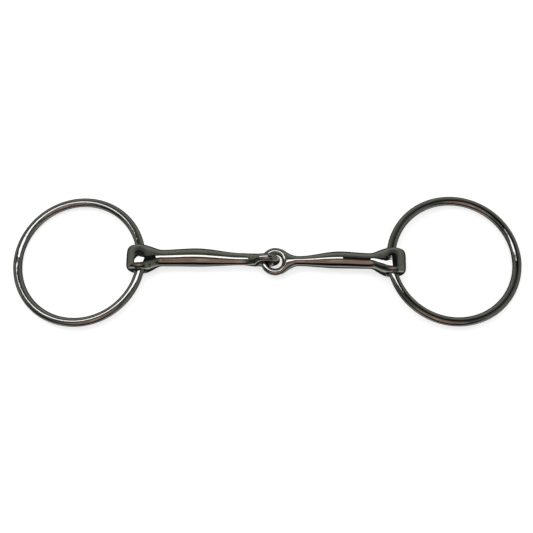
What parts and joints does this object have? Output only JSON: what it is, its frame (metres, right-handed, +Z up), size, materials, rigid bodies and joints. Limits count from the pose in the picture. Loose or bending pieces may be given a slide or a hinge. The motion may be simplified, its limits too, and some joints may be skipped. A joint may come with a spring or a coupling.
{
  "type": "snaffle bit",
  "caption": "Loose-ring snaffle bit: a single-jointed metal mouthpiece with linked eyes, and a loose round ring running through the drilled boss at each end.",
  "frame": {"origin": "on the surface that the bit lies on, below the middle of the whole bit's box", "axes": "+X along the mouthpiece from the left ring to the right ring, +Y along the two ring holes, +Z up from the surface"},
  "size_m": [0.2863, 0.0784, 0.0154],
  "materials": {
    "mouthpiece_metal": "polished bright plating over a casting, with a faint ripple and fine wear",
    "ring_metal": "polished bright plating over drawn round wire, with fine wear"
  },
  "bodies": {
    "left_cannon": {"left_cannon": "mouthpiece_metal"},
    "right_cannon": {"right_cannon": "mouthpiece_metal"},
    "left_ring": {"left_ring": "ring_metal"},
    "right_ring": {"right_ring": "ring_metal"}
  },
  "joints": [
    {"name": "mouthpiece_fold", "type": "hinge", "parent": "left_cannon", "child": "right_cannon", "pos_m": [-0.00075, -0.00115, 0.0071], "axis": [0, -1, 0], "range_deg": [-80, 80]},
    {"name": "left_ring_swing", "type": "hinge", "parent": "left_cannon", "child": "left_ring", "pos_m": [-0.0703, -0.00045, 0.0077], "axis": [0, 1, 0], "range_deg": [-90, 90]},
    {"name": "right_ring_swing", "type": "hinge", "parent": "right_cannon", "child": "right_ring", "pos_m": [0.0703, -0.00115, 0.0077], "axis": [0, -1, 0], "range_deg": [-90, 90]}
  ]
}
